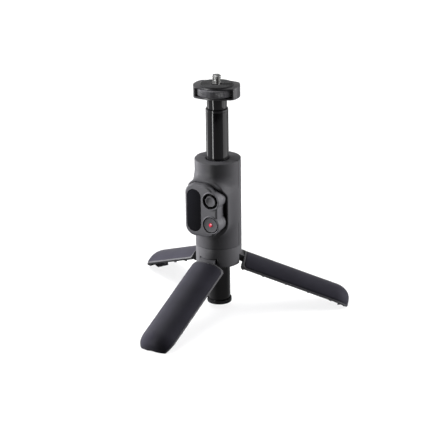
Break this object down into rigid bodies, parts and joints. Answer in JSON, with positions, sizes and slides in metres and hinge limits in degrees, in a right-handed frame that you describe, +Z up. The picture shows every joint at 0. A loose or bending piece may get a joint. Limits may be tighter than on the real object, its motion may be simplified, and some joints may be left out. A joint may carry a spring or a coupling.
{
  "type": "camera extension rod tripod",
  "caption": "Grip for a small camera: a telescopic rod with a screw-top head, fold-out tripod legs and a detachable remote control with joystick and record button.",
  "frame": {"origin": "point on the floor straight under the rod, on the rod axis", "axes": "+Z up along the rod towards the camera screw, -Y towards the side that carries the remote control, +X to the right of someone facing the remote control"},
  "size_m": [0.1749, 0.1571, 0.1792],
  "materials": {
    "body_plastic": "satin",
    "remote_plastic": "satin",
    "inner_plastic": "matt",
    "leg_frame_plastic": "satin",
    "leg_rubber": "matt",
    "foot_rubber": "matt",
    "pad_rubber": "matt",
    "black_tube": "black gloss anodised",
    "head_metal": "black anodised, bevelled",
    "wheel_metal": "satin, knurled",
    "stainless": "machined",
    "window_black": "gloss",
    "button_plastic": "satin",
    "red_dot": "gloss",
    "board": "solder mask",
    "cell_foil": "foil",
    "magnet": "nickel"
  },
  "bodies": {
    "grip": {"front_shell": "body_plastic", "rear_shell": "body_plastic", "upper_guide": "inner_plastic", "lower_guide": "inner_plastic", "detent_ball": "stainless", "detent_spring": "stainless", "bay_magnets": "magnet", "case_screws": "stainless", "tripod_base": "body_plastic", "base_cover": "body_plastic", "base_screws": "stainless", "hinge_pins": "stainless", "leg_springs": "stainless"},
    "leg_front": {"leg_front_frame": "leg_frame_plastic", "leg_front_skin": "leg_rubber", "leg_front_foot": "foot_rubber"},
    "leg_right": {"leg_right_frame": "leg_frame_plastic", "leg_right_skin": "leg_rubber", "leg_right_foot": "foot_rubber"},
    "leg_left": {"leg_left_frame": "leg_frame_plastic", "leg_left_skin": "leg_rubber", "leg_left_foot": "foot_rubber"},
    "rod_section_1": {"tube_1": "black_tube", "collar_1": "black_tube", "rod_end_cap": "black_tube"},
    "rod_section_2": {"tube_2": "black_tube", "collar_2": "inner_plastic", "bushing_2": "inner_plastic"},
    "rod_section_3": {"tube_3": "black_tube", "collar_3": "inner_plastic", "bushing_3": "inner_plastic"},
    "rod_section_4": {"tube_4": "black_tube", "bushing_4": "inner_plastic", "neck_ferrule": "black_tube"},
    "head": {"head_base": "head_metal", "top_plate": "head_metal", "rubber_pad": "pad_rubber", "head_screws": "stainless"},
    "wheel": {"thumb_wheel": "wheel_metal", "camera_screw": "stainless"},
    "remote": {"remote_front_shell": "remote_plastic", "remote_back_shell": "remote_plastic", "display_window": "window_black", "display_module": "inner_plastic", "remote_pcb": "board", "remote_battery": "cell_foil", "remote_magnets": "magnet", "remote_screws": "stainless", "charge_socket": "stainless", "record_switch": "inner_plastic", "joystick_base": "inner_plastic"},
    "joystick_press": {"joystick_carrier": "inner_plastic"},
    "joystick_gimbal": {"joystick_ring": "inner_plastic"},
    "joystick": {"joystick_cap": "button_plastic"},
    "record_key": {"record_button": "button_plastic", "record_dot": "red_dot"}
  },
  "joints": [
    {"name": "leg_front_fold", "type": "hinge", "parent": "grip", "child": "leg_front", "pos_m": [-0.00045, -0.01299, 0.041], "axis": [0.9994, -0.0349, 0], "range_deg": [0, 68]},
    {"name": "leg_right_fold", "type": "hinge", "parent": "grip", "child": "leg_right", "pos_m": [0.01148, 0.0061, 0.041], "axis": [-0.4695, 0.8829, 0], "range_deg": [0, 68]},
    {"name": "leg_left_fold", "type": "hinge", "parent": "grip", "child": "leg_left", "pos_m": [-0.01103, 0.00689, 0.041], "axis": [-0.5299, -0.848, 0], "range_deg": [0, 68]},
    {"name": "rod_slide", "type": "slide", "parent": "grip", "child": "rod_section_1", "axis": [0, 0, 1], "range_m": [-0.037, 0.028]},
    {"name": "section_2_slide", "type": "slide", "parent": "rod_section_1", "child": "rod_section_2", "axis": [0, 0, 1], "range_m": [0, 0.118]},
    {"name": "section_3_slide", "type": "slide", "parent": "rod_section_2", "child": "rod_section_3", "axis": [0, 0, 1], "range_m": [0, 0.118]},
    {"name": "section_4_slide", "type": "slide", "parent": "rod_section_3", "child": "rod_section_4", "axis": [0, 0, 1], "range_m": [0, 0.118]},
    {"name": "head_turn", "type": "hinge", "parent": "rod_section_4", "child": "head", "pos_m": [0, 0, 0.1633], "axis": [0, 0, 1], "continuous": true},
    {"name": "wheel_spin", "type": "hinge", "parent": "head", "child": "wheel", "pos_m": [0, 0, 0.165], "axis": [0, 0, 1], "continuous": true},
    {"name": "remote_detach", "type": "slide", "parent": "grip", "child": "remote", "axis": [0, -1, 0], "range_m": [0, 0.03]},
    {"name": "joystick_push", "type": "slide", "parent": "remote", "child": "joystick_press", "axis": [0, 1, 0], "range_m": [0, 0.0005], "stiffness_N_per_m": 2000},
    {"name": "joystick_nod", "type": "hinge", "parent": "joystick_press", "child": "joystick_gimbal", "pos_m": [0.0072, -0.0212, 0.0917], "axis": [1, 0, 0], "range_deg": [-10, 10], "stiffness_Nm_per_rad": 0.02},
    {"name": "joystick_sway", "type": "hinge", "parent": "joystick_gimbal", "child": "joystick", "pos_m": [0.0072, -0.0212, 0.0917], "axis": [0, 0, 1], "range_deg": [-10, 10], "stiffness_Nm_per_rad": 0.02},
    {"name": "record_push", "type": "slide", "parent": "remote", "child": "record_key", "axis": [0, 1, 0], "range_m": [0, 0.0008], "stiffness_N_per_m": 1500}
  ]
}
